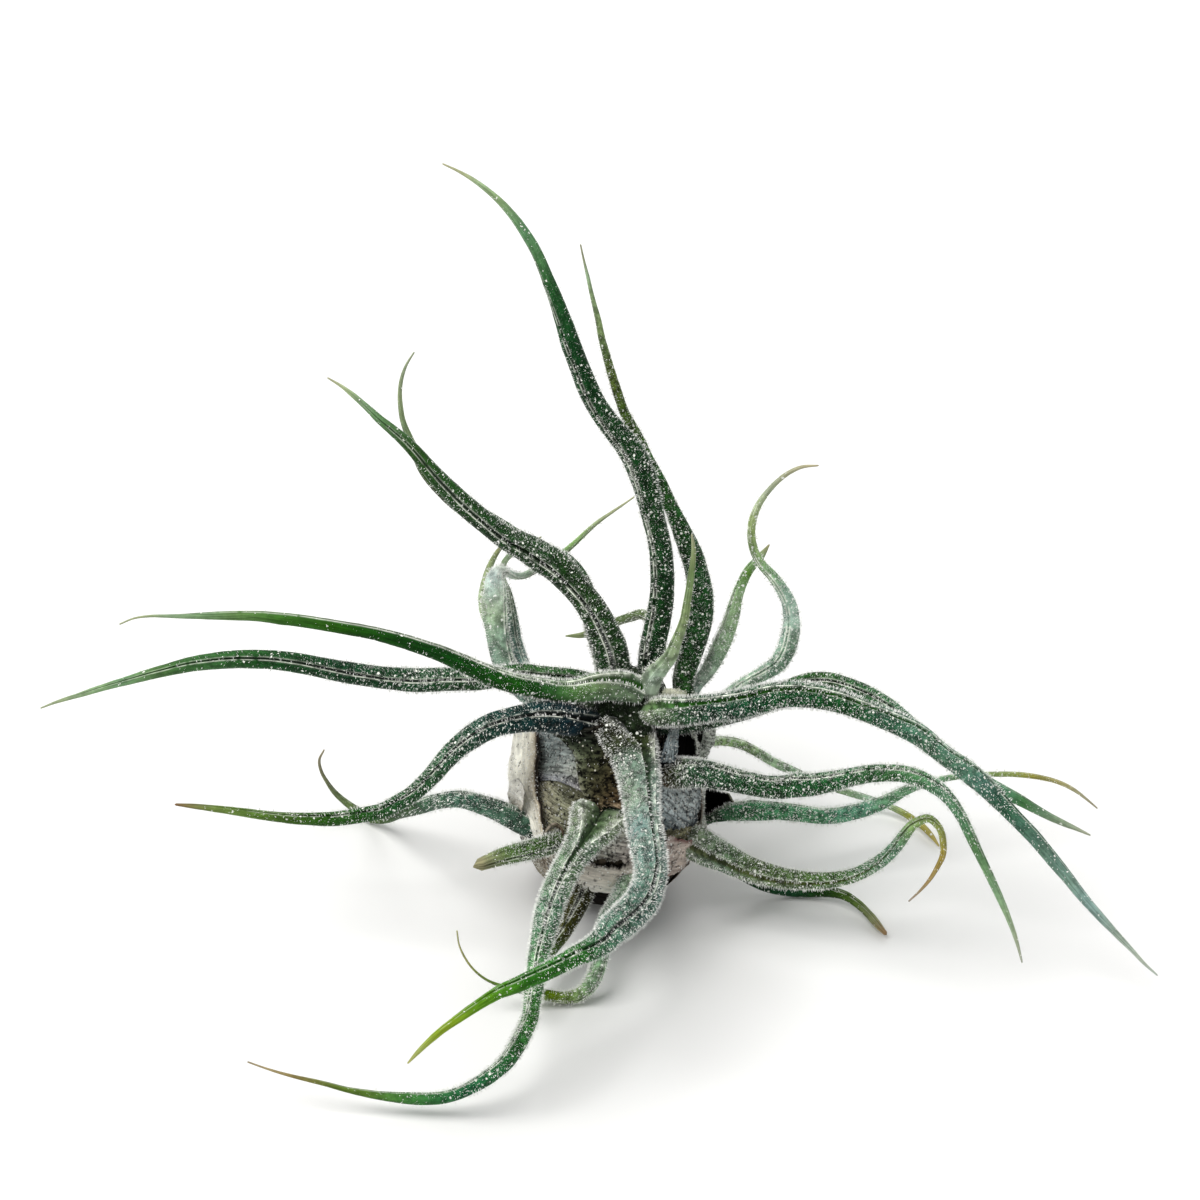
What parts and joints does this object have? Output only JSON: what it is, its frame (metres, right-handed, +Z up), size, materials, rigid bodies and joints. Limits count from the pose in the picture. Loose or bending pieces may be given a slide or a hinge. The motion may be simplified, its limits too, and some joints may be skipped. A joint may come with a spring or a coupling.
{
  "type": "air plant",
  "caption": "Bulbous air plant with long curling channelled tubular leaves rising from a round bulb of papery overlapping sheaths; rests on the trimmed underside of its bulb.",
  "frame": {"origin": "centre of the flat trimmed underside of the bulb, on the surface it rests on", "axes": "+Z up along the bulb, +X toward the side with the long right-hand leaf, -Y toward the side seen in the picture"},
  "size_m": [0.1585, 0.1014, 0.0973],
  "materials": {
    "leaf_green": null,
    "leaf_pale": "pale green leaf flesh, hairs thicker, matte",
    "leaf_olive": "olive to brown older leaf, matte",
    "dry_sheath": "dry papery grey-beige leaf sheath with fine fibres and dark specks",
    "bulb_inner": "inner sheaths of the bulb, darker in the crevices, brown trimmed underside"
  },
  "bodies": {
    "root": {"bulb_core": "bulb_inner", "leaf_front_hanging": "leaf_green", "leaf_right_main": "leaf_green", "leaf_left_upper": "leaf_green", "leaf_young_centre": "leaf_pale", "leaf_left_arched": "leaf_green", "leaf_top_tall": "leaf_green", "leaf_upper_left": "leaf_green", "leaf_right_behind": "leaf_green", "leaf_right_middle": "leaf_green", "leaf_front_lowest": "leaf_green", "leaf_right_s_curved": "leaf_pale", "leaf_right_pale": "leaf_pale", "leaf_left_long": "leaf_green", "leaf_back_left_pale_hook": "leaf_pale", "leaf_top_behind": "leaf_green", "leaf_upper_left_snaking": "leaf_green", "leaf_left_low": "leaf_green", "leaf_trimmed_short": "leaf_olive", "leaf_right_hooked": "leaf_green", "leaf_right_open_sheath": "leaf_green", "leaf_right_low": "leaf_green", "leaf_right_thin": "leaf_green", "leaf_front_hook": "leaf_green", "leaf_front_olive": "leaf_olive", "leaf_back_left_thin": "leaf_green", "leaf_back_left_narrow": "leaf_pale", "leaf_back_curl": "leaf_green", "leaf_back_low": "leaf_green", "sheath_front_wide": "dry_sheath", "sheath_left_wrap": "dry_sheath", "sheath_right_front": "dry_sheath", "sheath_right_low": "dry_sheath", "sheath_front_low": "dry_sheath", "sheath_right_open": "dry_sheath", "sheath_back_right": "dry_sheath", "sheath_back_left": "dry_sheath", "sheath_back_low": "dry_sheath"}
  },
  "joints": []
}
